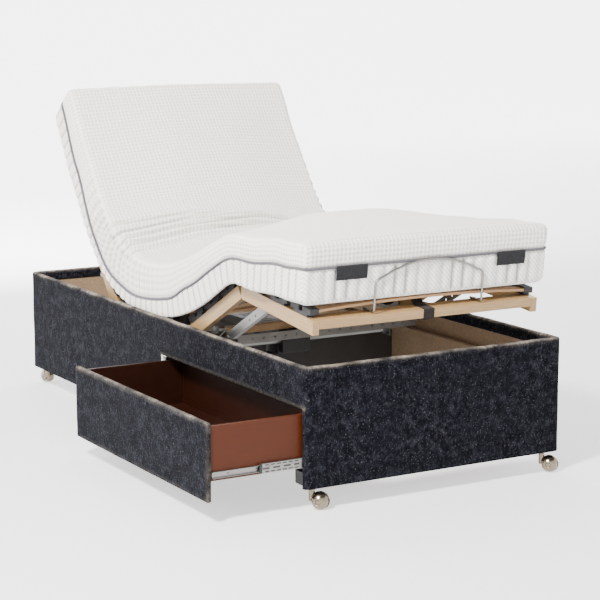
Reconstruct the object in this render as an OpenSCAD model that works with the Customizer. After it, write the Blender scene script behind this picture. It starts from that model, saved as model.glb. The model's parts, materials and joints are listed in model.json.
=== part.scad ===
// Adjustable bed: an upholstered divan base on ball castors with one side drawer, and inside it
// a profiling slatted frame (back, seat, thigh and calf sections) that carries a jointed mattress.
// The floor is z = 0, +Y points to the head end, and the drawer opens on the -X side.
// Section shapes are drawn flat and then turned about their hinges to the resting pose.

/* [Divan base] */
// Overall width of the upholstered base
bed_width = 900; // [895:1:905]
// Overall length of the upholstered base
bed_length = 2000; // [1998:1:2030]
// Height of the rim above the floor
rim_height = 418; // [414:1:424]
// Clear height under the base
floor_gap = 65; // [63:1:66]
// Thickness of the chipboard panels
board = 15; // [12:1:15]
// Thickness of the velvet and its backing
velvet = 2; // [1.5:0.5:2.5]

/* [Drawer] */
// How far the drawer stands open
drawer_out = 300; // [0:10:330]
// Depth of the drawer box
drawer_depth = 360; // [350:5:360]
// Height of the top edge of the drawer opening above the floor
opening_top = 297; // [296:1:299]
// Distance from the middle of the bed to the head edge of the opening
opening_start = 86; // [80:1:90]

/* [Slatted frame] */
// Angle of the back section above flat
back_angle = 51; // [10:1:60]
// Angle of the thigh section above flat
thigh_angle = 28.5; // [15:0.5:32]
// Angle by which the calf section slopes down towards the foot
calf_droop = 6; // [4:0.5:8]
// Distance from the middle of the bed to the back hinge
back_hinge = 375; // [370:1:376]
// Distance from the middle of the bed to the thigh hinge
thigh_hinge = 170; // [168:1:172]
// Length of the thigh section between its hinges
thigh_length = 384; // [380:1:386]
// Length of the calf section
calf_length = 424; // [400:1:425]
// Length of the back section
back_length = 598; // [560:1:600]
// Overall width of the slatted frame
frame_width = 786; // [782:1:788]
// Height of the top of the flat side rails
rail_top = 395; // [394:1:396]
// Height of a side rail's section
rail_height = 44; // [42:1:46]
// Thickness of a side rail
rail_thick = 22; // [20:1:22]

/* [Mattress] */
// Width of the mattress
mattress_width = 850; // [820:5:880]
// Thickness of the mattress
mattress_thick = 180; // [150:5:200]
// Length of the mattress above the back hinge
mattress_back_length = 750; // [600:10:760]
// Length of the mattress beyond the knee hinge
mattress_calf_length = 411; // [380:1:411]

/* [Hidden] */
$fn = 48;

beech = "burlywood";
pine = "wheat";
steel = "darkgray";
rubber = "#2c2a2c";
velvet_grey = "#3f434a";
terracotta = "#9a5430";
ticking = "#e6e2da";
chipboard = "#6e4a35";

// The open drawer and the castors set the part's box; the origin is the middle of that box
castor_x = bed_width / 2 - 42;
castor_y = bed_length / 2 - 35;
castor_trail = 25;
ball_r = 25;
origin_x = -drawer_out / 2;
origin_y = 0;

// Divan box
half_w = bed_width / 2;
half_l = bed_length / 2;
corner_r = 20;
inner_x = half_w - velvet - board;
inner_y = half_l - velvet - board;
turn_in = 36;
opening_foot = -inner_y;
opening_head = -opening_start;
ledge_top = 322;
ledge_w = 18;
ledge_h = 22;
divider_t = 16;

// Drawer and its three-part runners
front_t = board - 0.5;
drawer_wall = 12;
drawer_low = 125;
drawer_high = 280;
runner_gap = 13;
runner_z = 142;
runner_len = 350;
runner_start = inner_x - 3;
box_foot = opening_foot + runner_gap;
box_head = opening_head - runner_gap;
front_x = half_w - velvet - front_t;

// Slatted frame, drawn flat
rail_out = frame_width / 2;
rail_in = rail_out - rail_thick;
rail_low = rail_top - rail_height;
hinge_z = rail_top - 8;
knee_z = rail_low + 6;
back_y = back_hinge;
thigh_y = -thigh_hinge;
knee_y = thigh_y - sqrt(pow(thigh_length, 2) - pow(hinge_z - knee_z, 2));
foot_y = knee_y - calf_length;
head_y = back_y + back_length;
end_gap = 0.5;
cross_h = 27;
cross_w = 60;
leaf_r = 8;
leaf_len = 66;
rivet_r = 3;

// Sprung slats and their double rubber caps
slat_w = 38;
slat_t = 8;
slat_half = 384;
slat_z = rail_top + 13;
slat_crown = 14;
slat_bow = (pow(slat_half, 2) + pow(slat_crown, 2)) / (2 * slat_crown);
slat_pitch = 64;
cap_wall = 4;
deck_z = slat_z + slat_crown + slat_t + 2;

// Lifting tubes of the drive
tube_r = 15;
tube_z = 320;
leg_tube_y = -150;
back_tube_y = 345;
leg_arm = 200;
back_arm = 220;
leg_arm_rise = 5;
back_arm_rise = 4.6;
leg_ratio = 0.765;
back_ratio = 0.735;
glide_r = 12;
arm_in = rail_in - 24;
arm_t = 6;
back_elbow = 22;
bush_r = 18;
fit = 0.06;

// Calf struts: the lower pivot is where one strut length suits both the flat and the resting pose
strut_slope = 28.4;
stud_flat = [knee_y - 110.6, knee_z - 0.4];
stud_rest = rest_calf(stud_flat);
half_step = (stud_rest - stud_flat) / 2;
step_side = [half_step[1], -half_step[0]] / norm(half_step);
strut_dir = [cos(strut_slope), -sin(strut_slope)];
strut_len = norm(half_step) / (strut_dir * half_step) * -norm(half_step);
strut_pivot = stud_rest + strut_len * strut_dir;
strut_x = 357;
strut_t = 3;
strut_w = 30;
link_x = 330;

function turn(p, pivot, a) = pivot + [
    cos(a) * (p[0] - pivot[0]) - sin(a) * (p[1] - pivot[1]),
    sin(a) * (p[0] - pivot[0]) + cos(a) * (p[1] - pivot[1])];
function rest_thigh(p) = turn(p, [thigh_y, hinge_z], -thigh_angle);
function rest_calf(p) = rest_thigh(turn(p, [knee_y, knee_z], thigh_angle + calf_droop));

// Moves the bed so that the middle of the part's box stands on the origin
module placed() {
    translate([-origin_x, -origin_y, 0]) children();
}

module turned(y, z, a) {
    translate([0, y, z]) rotate([a, 0, 0]) translate([0, -y, -z]) children();
}

module on_back() {
    placed() turned(back_y, hinge_z, back_angle) children();
}

module on_thigh() {
    placed() turned(thigh_y, hinge_z, -thigh_angle) children();
}

module on_calf() {
    on_thigh() turned(knee_y, knee_z, thigh_angle + calf_droop) children();
}

module on_drawer() {
    placed() translate([-drawer_out, 0, 0]) children();
}

// Extrudes a side-view outline, whose axes are Y and Z, from x0 to x1
module across(x0, x1) {
    translate([x0, 0, 0]) rotate([90, 0, 90]) linear_extrude(x1 - x0) children();
}

module both_sides() {
    children();
    mirror([1, 0, 0]) children();
}

module block(low, high) {
    translate(low) cube(high - low);
}

// ---- Divan base ----

module rounded_plan(inset) {
    r = corner_r - inset;
    w = half_w - inset;
    l = half_l - inset;
    square([2 * w, 2 * (l - r)], center = true);
    square([2 * (w - r), 2 * l], center = true);
    for (x = [-1, 1], y = [-1, 1]) translate([x * (w - r), y * (l - r)]) circle(r);
}

module drawer_hole(side, edge) {
    block([-half_w - 10, opening_foot, -10], [-inner_x + side, opening_head, opening_top + edge]);
}

module velvet_cover() {
    panel_top = rim_height - velvet;
    color(velvet_grey) placed() difference() {
        translate([0, 0, floor_gap]) linear_extrude(rim_height - floor_gap) rounded_plan(0);
        translate([0, 0, floor_gap + velvet]) linear_extrude(panel_top - floor_gap - velvet)
            difference() {
                rounded_plan(velvet);
                square([2 * inner_x, 2 * inner_y], center = true);
            }
        block([-inner_x, -inner_y, 0], [inner_x, inner_y, rim_height - turn_in]);
        block([velvet - inner_x, velvet - inner_y, 0], [inner_x - velvet, inner_y - velvet, 500]);
        drawer_hole(1, 0);
    }
}

module base_panel(low_x, high_x, low_y, high_y) {
    intersection() {
        translate([0, 0, floor_gap + velvet])
            linear_extrude(rim_height - floor_gap - 2 * velvet) rounded_plan(velvet);
        block([low_x, low_y, 0], [high_x, high_y, 500]);
    }
}

module drawer_side_panel() {
    color(chipboard) placed() difference() {
        base_panel(-half_w, -inner_x, -inner_y, inner_y);
        drawer_hole(1, 0);
    }
}

module far_side_panel() {
    color(chipboard) placed() base_panel(inner_x, half_w, -inner_y, inner_y);
}

module foot_panel() {
    color(chipboard) placed() base_panel(-half_w, half_w, -half_l, -inner_y);
}

// The two holes take the bolts of a headboard
module head_panel() {
    color(chipboard) placed() difference() {
        base_panel(-half_w, half_w, inner_y, half_l);
        for (x = [-1, 1]) translate([x * 250, half_l - board - 5, 330])
            rotate([-90, 0, 0]) cylinder(h = board + 10, r = 4.5);
    }
}

module support_ledges() {
    color(pine) placed() both_sides()
        block([inner_x - ledge_w, -inner_y, ledge_top - ledge_h], [inner_x, inner_y, ledge_top]);
}

module divider_panel() {
    color(pine) placed() difference() {
        block([-inner_x, opening_head, floor_gap + velvet],
              [inner_x, opening_head + divider_t, opening_top]);
        block([-62, opening_head - 1, 258], [62, opening_head + divider_t + 1, 400]);
    }
}

// Blocks that take the castor stems, with their free corner cut off
module corner_blocks() {
    size = 70;
    cut = 34;
    low = floor_gap + velvet;
    color(rubber) placed() difference() {
        for (x = [-1, 1], y = [-1, 1]) scale([x, y, 1])
            translate([inner_x - size, inner_y - size, low]) linear_extrude(40)
                polygon([[0, size], [0, cut], [cut, 0], [size, 0], [size, size]]);
        for (i = [0:3]) translate([castor_at(i)[0], castor_at(i)[1], low - 1])
            cylinder(h = 50, r = 5.5 + fit);
    }
}

// ---- Drawer ----

// A rolled channel along X: its web is at depth 0 and its flanges reach to depth d
module channel(h, d, t = 1.5) {
    translate([0, 0, -h / 2]) cube([runner_len, t, h]);
    for (z = [-h / 2, h / 2 - t]) translate([0, 0, z]) cube([runner_len, d, t]);
}

// Puts a channel on the foot-side wall and its mirror image on the divider wall
module runner_pair(shift, depth) {
    x = -runner_start - shift;
    translate([x, opening_foot + depth, runner_z]) children();
    translate([x, opening_head - depth, runner_z]) mirror([0, 1, 0]) children();
}

module runner_outers() {
    color(steel) placed() runner_pair(0, 0) channel(35, 9.5);
}

module runner_mids() {
    color("silver") placed() runner_pair(drawer_out / 2, 2.5) channel(28, 8.5);
}

module runner_inners() {
    color("silver") placed() runner_pair(drawer_out, runner_gap) mirror([0, 1, 0]) channel(19, 8);
}

module drawer_front() {
    color(chipboard) on_drawer()
        block([-half_w + velvet, opening_foot + 5 + velvet, floor_gap + velvet],
              [-half_w + velvet + front_t, opening_head - 3 - velvet, opening_top - 4 - velvet]);
}

module drawer_front_cover() {
    color(velvet_grey) on_drawer() difference() {
        block([-half_w, opening_foot + 5, floor_gap],
              [-half_w + velvet + front_t, opening_head - 3, opening_top - 4]);
        block([-half_w + velvet, opening_foot + 5 + velvet, floor_gap + velvet],
              [0, opening_head - 3 - velvet, opening_top - 4 - velvet]);
    }
}

module drawer_sides() {
    color(terracotta) on_drawer() for (y = [box_foot, box_head - drawer_wall])
        block([-front_x, y, drawer_low], [-front_x + drawer_depth, y + drawer_wall, drawer_high]);
}

module drawer_back() {
    color(terracotta) on_drawer()
        block([-front_x + drawer_depth - drawer_wall, box_foot + drawer_wall, drawer_low],
              [-front_x + drawer_depth, box_head - drawer_wall, drawer_high]);
}

module drawer_bottom() {
    color(terracotta) on_drawer()
        block([-front_x, box_foot + drawer_wall, drawer_low + 4],
              [-front_x + drawer_depth - drawer_wall, box_head - drawer_wall, drawer_low + 10]);
}

// ---- Slatted frame ----

// One pair of rails; the end at y0 or y1 is cut back on the side that closes when it folds:
// 1 cuts above the hinge, -1 cuts below it, 0 leaves the end square
module rail_pair(y0, y1, cut0, cut1) {
    top0 = cut0 == 1 ? rail_top - hinge_z : 0;
    low0 = cut0 == -1 ? knee_z - rail_low : 0;
    top1 = cut1 == 1 ? rail_top - hinge_z : 0;
    low1 = cut1 == -1 ? knee_z - rail_low : 0;
    both_sides() across(rail_in, rail_out) polygon([
        [y0 + low0, rail_low], [y1 - low1, rail_low], [y1, rail_low + low1],
        [y1, rail_top - top1], [y1 - top1, rail_top], [y0 + top0, rail_top],
        [y0, rail_top - top0], [y0, rail_low + low0]]);
}

// The seat's rails with their two cross rails
module seat_rails() {
    bracket = 6;
    color(beech) placed() {
        rail_pair(thigh_y + end_gap, back_y - end_gap, 1, 1);
        for (y = [thigh_y + 10, back_y - 40])
            block([bracket - rail_in, y, rail_low + 2], [rail_in - bracket, y + 30, rail_low + 26]);
    }
}

module back_rails() {
    color(beech) on_back() {
        rail_pair(back_y + end_gap, head_y, 1, 0);
        block([-rail_in, head_y - cross_w, rail_top - cross_h], [rail_in, head_y, rail_top]);
    }
}

module thigh_rails() {
    color(beech) on_thigh() rail_pair(knee_y + end_gap, thigh_y - end_gap, -1, 1);
}

module calf_rails() {
    color(beech) on_calf() rail_pair(foot_y, knee_y - end_gap, 0, -1);
}

module calf_foot_rail() {
    color(beech) on_calf()
        block([-rail_in, foot_y, rail_top - cross_h], [rail_in, foot_y + cross_w, rail_top]);
}

// Steel angles that stand the seat on the ledges
module seat_brackets() {
    color(steel) placed() both_sides() for (y = [thigh_y + 50, back_y - 90]) {
        block([rail_out, y, ledge_top], [rail_out + 3, y + 40, rail_top - 8]);
        block([rail_out + 3, y, ledge_top], [inner_x - 1, y + 40, ledge_top + 3]);
    }
}

// A sprung slat, bowed upwards along its length
module slat(y) {
    span = 2 * asin(slat_half / slat_bow);
    translate([0, y, slat_z + slat_crown - slat_bow]) rotate([0, 0, 90]) rotate([0, -90, 0])
        rotate([0, 0, -span / 2]) rotate_extrude(angle = span, $fn = 1440)
            translate([slat_bow, -slat_w / 2]) square([slat_t, slat_w]);
}

// Pairs of slats centred on the given places along the bed
module slat_pairs(places) {
    for (y = places, side = [-1, 1]) slat(y + side * slat_pitch / 2);
}

// Double caps of moulded rubber: a foot on the rail and a sleeve round each slat end
module cap_pairs(places) {
    sleeve = slat_w / 2 + cap_wall;
    both_sides() for (y = places) difference() {
        union() {
            block([rail_in - 3, y - 40, rail_top], [rail_out - 2, y + 40, slat_z - 1]);
            for (side = [-1, 1])
                block([rail_in - 10, y + side * slat_pitch / 2 - sleeve, slat_z - 4],
                      [rail_out - 2, y + side * slat_pitch / 2 + sleeve, slat_z + slat_t + 6]);
        }
        for (side = [-1, 1])
            block([rail_in - 11, y + side * slat_pitch / 2 - slat_w / 2 - fit, slat_z - 0.5],
                  [slat_half + 1, y + side * slat_pitch / 2 + slat_w / 2 + fit,
                   slat_z + slat_t + 3]);
    }
}

function spaced(from, to, n) = [for (i = [0:n - 1]) from + (i + 0.5) * (to - from) / n];
seat_places = spaced(thigh_y + 8, back_y - 20, 4);
back_places = spaced(back_y + 8, head_y - cross_w, 4);
thigh_places = spaced(knee_y + 12, thigh_y - 8, 3);
calf_places = spaced(foot_y + 12, knee_y - 16, 3);

module seat_slats() {
    color(beech) placed() slat_pairs(seat_places);
}

module back_slats() {
    color(beech) on_back() slat_pairs(back_places);
}

module thigh_slats() {
    color(beech) on_thigh() slat_pairs(thigh_places);
}

module calf_slats() {
    color(beech) on_calf() slat_pairs(calf_places);
}

module seat_caps() {
    color(rubber) placed() cap_pairs(seat_places);
}

module back_caps() {
    color(rubber) on_back() cap_pairs(back_places);
}

module thigh_caps() {
    color(rubber) on_thigh() cap_pairs(thigh_places);
}

module calf_caps() {
    color(rubber) on_calf() cap_pairs(calf_places);
}

// ---- Hinges ----

// A leaf lies along Y from its pivot, on the rail's inner face. The outer leaf carries the
// rivet; the inner leaf is bored for it and is packed out to the rail.
module outer_leaf(y, z, dir) {
    translate([rail_in - 3.5, y, z]) rotate([0, 90, 0]) cylinder(h = 3, r = leaf_r);
    block([rail_in - 3.5, min(y, y + dir * leaf_len), z - leaf_r],
          [rail_in - 0.5, max(y, y + dir * leaf_len), z + leaf_r]);
    translate([rail_in - 8.2, y, z]) rotate([0, 90, 0]) cylinder(h = 6, r = rivet_r);
    translate([rail_in - 9.2, y, z]) rotate([0, 90, 0]) cylinder(h = 1.5, r = 6);
}

module inner_leaf(y, z, dir) {
    near = y + dir * 20;
    far = y + dir * leaf_len;
    difference() {
        union() {
            translate([rail_in - 7, y, z]) rotate([0, 90, 0]) cylinder(h = 3, r = leaf_r);
            block([rail_in - 7, min(y, far), z - leaf_r], [rail_in - 4, max(y, far), z + leaf_r]);
        }
        translate([rail_in - 10, y, z]) rotate([0, 90, 0]) cylinder(h = 8, r = rivet_r + fit);
    }
    block([rail_in - 4, min(near, far), z - leaf_r + 1], [rail_in, max(near, far), z + leaf_r - 1]);
}

module fixed_hinge_leaves() {
    color(steel) placed() both_sides() {
        outer_leaf(thigh_y, hinge_z, 1);
        outer_leaf(back_y, hinge_z, -1);
    }
}

module back_hinge_leaves() {
    color(steel) on_back() both_sides() inner_leaf(back_y, hinge_z, 1);
}

module thigh_hinge_leaves() {
    color(steel) on_thigh() both_sides() {
        inner_leaf(thigh_y, hinge_z, -1);
        outer_leaf(knee_y, knee_z, 1);
    }
}

// The knee leaves and the studs that the struts push on
module calf_fittings() {
    color(steel) on_calf() both_sides() {
        inner_leaf(knee_y, knee_z, -1);
        translate([strut_x - 4, stud_flat[0], stud_flat[1]]) rotate([0, 90, 0])
            cylinder(h = rail_in - strut_x + 4, r = 4);
        translate([rail_in - 3, stud_flat[0], stud_flat[1]]) rotate([0, 90, 0])
            cylinder(h = 3, r = 9);
    }
}

// ---- Calf linkage ----

// A welded frame that holds the lower pivots of the struts in front of the seat
module link_frame() {
    y = strut_pivot[0];
    z = strut_pivot[1];
    cross_face = thigh_y + 10;
    color(steel) placed() {
        both_sides() {
            across(link_x, link_x + 3) polygon([[cross_face, rail_low + 3],
                [cross_face, rail_low + 25], [y, z + 12], [y - 12, z + 12], [y - 12, z - 14]]);
            block([link_x - 25, cross_face - 3, rail_low + 3], [link_x + 3, cross_face, rail_low + 25]);
            translate([link_x, y, z]) rotate([0, 90, 0])
                cylinder(h = strut_x + strut_t + 2 - link_x, r = 5);
            translate([link_x, y, z]) rotate([0, 90, 0]) cylinder(h = strut_x - 0.5 - link_x, r = 8);
        }
        difference() {
            block([-link_x, y - 12, z - 26], [link_x, y - 9, z + 2]);
            for (x = [-280:40:280]) translate([x, y - 13, z - 12])
                rotate([-90, 0, 0]) cylinder(h = 6, r = 3);
        }
    }
}

// Pressed arms, bored at the fixed pivot and slotted round the stud on the calf rail
module calf_struts() {
    y = strut_pivot[0];
    z = strut_pivot[1];
    way = atan2(stud_rest[1] - z, stud_rest[0] - y);
    slot_r = 5.2;
    slot_half = 3;
    color(steel) placed() both_sides() translate([0, y, z]) rotate([way, 0, 0]) difference() {
        union() {
            for (at = [0, strut_len]) translate([strut_x, at, 0]) rotate([0, 90, 0])
                cylinder(h = strut_t, r = strut_w / 2);
            block([strut_x, 0, -strut_w / 2], [strut_x + strut_t, strut_len, strut_w / 2]);
            block([strut_x - 12, 24, strut_w / 2 - 3], [strut_x, strut_len - 24, strut_w / 2]);
        }
        translate([strut_x - 1, 0, 0]) rotate([0, 90, 0]) cylinder(h = 5, r = 5 + fit);
        for (step = [-1, 1]) translate([strut_x - 1, strut_len + step * slot_half, 0])
            rotate([0, 90, 0]) cylinder(h = 5, r = slot_r);
        block([strut_x - 1, strut_len - slot_half, -slot_r],
              [strut_x + 4, strut_len + slot_half, slot_r]);
        for (at = [0.55, 0.68]) translate([strut_x - 1, strut_len * at, 0])
            rotate([0, 90, 0]) cylinder(h = 5, r = 4);
    }
}

// ---- Drive and lifting tubes ----

module tube_brackets() {
    color(steel) placed() both_sides() for (y = [leg_tube_y, back_tube_y]) difference() {
        block([rail_in - 6, y - 22, tube_z - 26], [rail_in, y + 22, rail_low + 25]);
        translate([rail_in - 7, y, tube_z]) rotate([0, 90, 0]) cylinder(h = 8, r = bush_r + fit);
        // Clear of the thigh rail, which lies beside it when the bed is flat
        block([rail_in - 0.4, thigh_y - 30, tube_z - 30], [rail_in + 1, thigh_y + 1, rail_low + 30]);
    }
}

module tube_bushes() {
    color("#303134") placed() both_sides() for (y = [leg_tube_y, back_tube_y])
        translate([rail_in - 16, y, tube_z]) rotate([0, 90, 0]) difference() {
            cylinder(h = 17, r = bush_r);
            translate([0, 0, -1]) cylinder(h = 19, r = tube_r + fit);
        }
}

// A tube across the bed with a welded arm near each end. The arm points along dir and rises;
// its elbow drops, so that it passes under the seat's cross rail when it is lifted.
module lift_tube(y, dir, length, rise, elbow, lift) {
    tip = [dir * length * cos(rise), length * sin(rise)];
    mid = [dir * 90, -elbow];
    translate([0, y, tube_z]) rotate([lift, 0, 0]) {
        rotate([0, 90, 0]) difference() {
            cylinder(h = 2 * rail_in + 8, r = tube_r, center = true);
            cylinder(h = 2 * rail_in + 10, r = tube_r - 2.5, center = true);
        }
        both_sides() {
            across(arm_in, arm_in + arm_t) difference() {
                union() {
                    circle(tube_r + 3);
                    polygon([[0, 13], mid + [0, 12], tip + [0, 9.4],
                             tip - [0, 9.4], mid - [0, 12], [0, -13]]);
                    translate(tip) circle(10);
                }
                circle(tube_r - 1);
            }
            translate([arm_in, tip[0], tip[1]]) rotate([0, 90, 0]) cylinder(h = 40, r = 5);
        }
    }
}

module glide_pair(y, dir, length, rise, lift) {
    translate([0, y, tube_z]) rotate([lift, 0, 0]) both_sides()
        translate([rail_in + 1.5, dir * length * cos(rise), length * sin(rise)])
            rotate([0, 90, 0]) difference() {
                cylinder(h = 13, r = glide_r);
                translate([0, 0, -1]) cylinder(h = 15, r = 5 + fit);
            }
}

module leg_lift_tube() {
    color(steel) placed()
        lift_tube(leg_tube_y, -1, leg_arm, leg_arm_rise, 0, -thigh_angle * leg_ratio);
}

module leg_glides() {
    color("#303134") placed()
        glide_pair(leg_tube_y, -1, leg_arm, leg_arm_rise, -thigh_angle * leg_ratio);
}

module back_lift_tube() {
    color(steel) placed()
        lift_tube(back_tube_y, 1, back_arm, back_arm_rise, back_elbow, back_angle * back_ratio);
}

module back_glides() {
    color("#303134") placed()
        glide_pair(back_tube_y, 1, back_arm, back_arm_rise, back_angle * back_ratio);
}

drive_half = 55;
drive_low = 268;
drive_top = 350;

module tube_bores() {
    for (y = [leg_tube_y, back_tube_y]) translate([-100, y, tube_z]) rotate([0, 90, 0])
        cylinder(h = 200, r = tube_r + fit);
}

// The mains socket is the recess in the housing's side
module drive_housing() {
    color("#26272b") placed() difference() {
        block([-drive_half, leg_tube_y, drive_low], [drive_half, back_tube_y, drive_top]);
        tube_bores();
        block([drive_half - 12, 90, 290], [drive_half + 1, 118, 312]);
        for (y = [-110:30:310]) block([-30, y, drive_top - 3], [30, y + 8, drive_top + 1]);
    }
}

module drive_end_covers() {
    color("#3a3b40") placed() difference() {
        for (y = [leg_tube_y - 28, back_tube_y])
            block([-drive_half + 3, y, drive_low + 8], [drive_half - 3, y + 28, drive_top - 4]);
        tube_bores();
    }
}

module drive_motors() {
    color("#26272b") placed() for (y = [0, 230]) translate([0, y, drive_low - 62]) {
        cylinder(h = 62, r = 34);
        translate([0, 0, -6]) cylinder(h = 6, r = 26);
    }
}

// ---- Retainer and strap ----

// Sweeps a ring of n sides, of radius r, along points in the X-Z plane
module wire(points, r, n = 12) {
    last = len(points) - 1;
    rings = [for (i = [0:last])
        let (d = points[min(i + 1, last)] - points[max(i - 1, 0)], u = d / norm(d))
        for (k = [0:n - 1]) points[i] + r * [
            -u[2] * cos(360 * k / n), sin(360 * k / n) , u[0] * cos(360 * k / n)]];
    sides = [for (i = [0:last - 1], k = [0:n - 1]) let (next = (k + 1) % n)
        [i * n + k, i * n + next, (i + 1) * n + next, (i + 1) * n + k]];
    caps = [[for (k = [n - 1:-1:0]) k], [for (k = [0:n - 1]) last * n + k]];
    polyhedron(rings, concat(sides, caps), convexity = 6);
}

// A bent wire arch on the foot rail that stops the mattress sliding
module retainer_bar() {
    r = 3.5;
    leg_x = 188;
    leg_top = rail_top + 92;
    arch_top = rail_top + 150;
    bend = 0.16;
    y = foot_y + 6;
    // The arch: straight legs, then a flattened curve whose corners are rounded by the power
    arch = [for (t = [0:0.04:1]) let (a = 180 * t, c = cos(a), q = sin(a))
        [-leg_x * sign(c) * pow(abs(c), 2 * bend + 0.35), y,
         leg_top + (arch_top - leg_top) * pow(q, 0.8)]];
    color(steel) on_calf() {
        wire(concat([[-leg_x, y, rail_top]], arch, [[leg_x, y, rail_top]]), r);
        both_sides() translate([leg_x, y + r, rail_top + r])
            rotate([-90, 0, 0]) cylinder(h = 46, r = r);
    }
}

// A webbing strap that loops round the foot rail and runs under the slats to the knee
module centre_strap() {
    t = 1.6;
    low = rail_top - cross_h;
    run = slat_z + slat_crown - 0.5;
    back = foot_y + cross_w;
    color(rubber) on_calf() across(-18.5, 18.5) polygon([
        [foot_y - t, low - t], [back, low - t], [back, low], [foot_y, low],
        [foot_y, rail_top], [back, rail_top], [back + 24, run - t], [knee_y - 20, run - t],
        [knee_y - 20, run], [back + 23, run], [back - 1, rail_top + t],
        [foot_y - t, rail_top + t]]);
}

// ---- Mattress ----

// Sections are cut back from their hinges, so that they stay clear when the frame is fully up
hip_cut = 33.5;
thigh_cut = 18;

// Distance along the bed of a cut face at height z, for a hinge at height hinge_z
function cut_back(a, z) = 1 + tan(a) * (z - hinge_z);

module mattress_block(y_low0, y_low1, y_top1, y_top0) {
    top = deck_z + mattress_thick;
    across(-mattress_width / 2, mattress_width / 2)
        polygon([[y_low0, deck_z], [y_low1, deck_z], [y_top1, top], [y_top0, top]]);
}

mattress_top = deck_z + mattress_thick;

module mattress_back() {
    end = back_y + mattress_back_length;
    color(ticking) on_back() mattress_block(back_y + cut_back(hip_cut, deck_z), end, end,
        back_y + cut_back(hip_cut, mattress_top));
}

module mattress_seat() {
    color(ticking) placed() mattress_block(thigh_y + cut_back(thigh_cut, deck_z),
        back_y - cut_back(hip_cut, deck_z), back_y - cut_back(hip_cut, mattress_top),
        thigh_y + cut_back(thigh_cut, mattress_top));
}

module mattress_thigh() {
    color(ticking) on_thigh() mattress_block(knee_y + 1, thigh_y - cut_back(thigh_cut, deck_z),
        thigh_y - cut_back(thigh_cut, mattress_top), knee_y + 1);
}

module mattress_calf() {
    end = knee_y - mattress_calf_length;
    color(ticking) on_calf() mattress_block(end, knee_y - 1, knee_y - 1, end);
}

// ---- Castors ----

// Swivel directions at rest, in degrees from +X
castor_swivel = [-50, -50, 60, 120];
function castor_at(i) = [(i % 2 == 0 ? -1 : 1) * castor_x, (i < 2 ? -1 : 1) * castor_y];

module at_castor(i) {
    placed() translate([castor_at(i)[0], castor_at(i)[1], 0]) rotate([0, 0, castor_swivel[i]])
        children();
}

// The hood covers the ball's top and back; its stem turns in the corner block
module castor_hood(i) {
    color("silver") at_castor(i) {
        difference() {
            translate([castor_trail, 0, ball_r]) sphere(ball_r + 3);
            translate([castor_trail, 0, ball_r]) sphere(ball_r + 1);
            block([-10, -40, -10], [castor_trail + 40, 6, ball_r + 9]);
            block([-10, -40, -10], [castor_trail + 40, 40, 4]);
        }
        difference() {
            translate([0, 0, 23]) cylinder(h = floor_gap - 1 - 23, r = 9);
            translate([castor_trail, 0, ball_r]) sphere(ball_r + 1);
        }
        translate([0, 0, 50]) cylinder(h = 50, r = 5.5);
        translate([castor_trail, -16, ball_r]) rotate([-90, 0, 0]) cylinder(h = 43, r = 3);
    }
}

module castor_wheel(i) {
    color("gray") at_castor(i) translate([castor_trail, 0, ball_r]) rotate([90, 0, 0])
        rotate_extrude() difference() {
            circle(ball_r);
            translate([-2 * ball_r, -ball_r]) square([2 * ball_r + 3 + fit, 2 * ball_r]);
            translate([0, -ball_r]) square([ball_r, ball_r - 4]);
            translate([0, 21]) square(ball_r);
            translate([0, 16]) square([8, ball_r]);
        }
}

module castor_hood_1() { castor_hood(0); }
module castor_hood_2() { castor_hood(1); }
module castor_hood_3() { castor_hood(2); }
module castor_hood_4() { castor_hood(3); }
module castor_wheel_1() { castor_wheel(0); }
module castor_wheel_2() { castor_wheel(1); }
module castor_wheel_3() { castor_wheel(2); }
module castor_wheel_4() { castor_wheel(3); }

velvet_cover();
drawer_side_panel();
far_side_panel();
foot_panel();
head_panel();
support_ledges();
divider_panel();
corner_blocks();
runner_outers();
drawer_front();
drawer_front_cover();
drawer_sides();
drawer_back();
drawer_bottom();
runner_inners();
runner_mids();
seat_rails();
seat_brackets();
seat_slats();
seat_caps();
fixed_hinge_leaves();
back_rails();
back_slats();
back_caps();
back_hinge_leaves();
thigh_rails();
thigh_slats();
thigh_caps();
thigh_hinge_leaves();
calf_rails();
calf_foot_rail();
calf_slats();
calf_caps();
calf_fittings();
centre_strap();
retainer_bar();
link_frame();
calf_struts();
tube_brackets();
tube_bushes();
leg_lift_tube();
leg_glides();
back_lift_tube();
back_glides();
drive_housing();
drive_end_covers();
drive_motors();
mattress_back();
mattress_seat();
mattress_thigh();
mattress_calf();
castor_hood_1();
castor_hood_2();
castor_hood_3();
castor_hood_4();
castor_wheel_1();
castor_wheel_2();
castor_wheel_3();
castor_wheel_4();
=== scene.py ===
"""An adjustable divan bed: velvet base on ball castors, side drawer, jointed slatted frame and mattress.
Lengths are in metres, +Y points to the head end and +Z up; the bed's own middle is at x = MID."""

import json
import math

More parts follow.
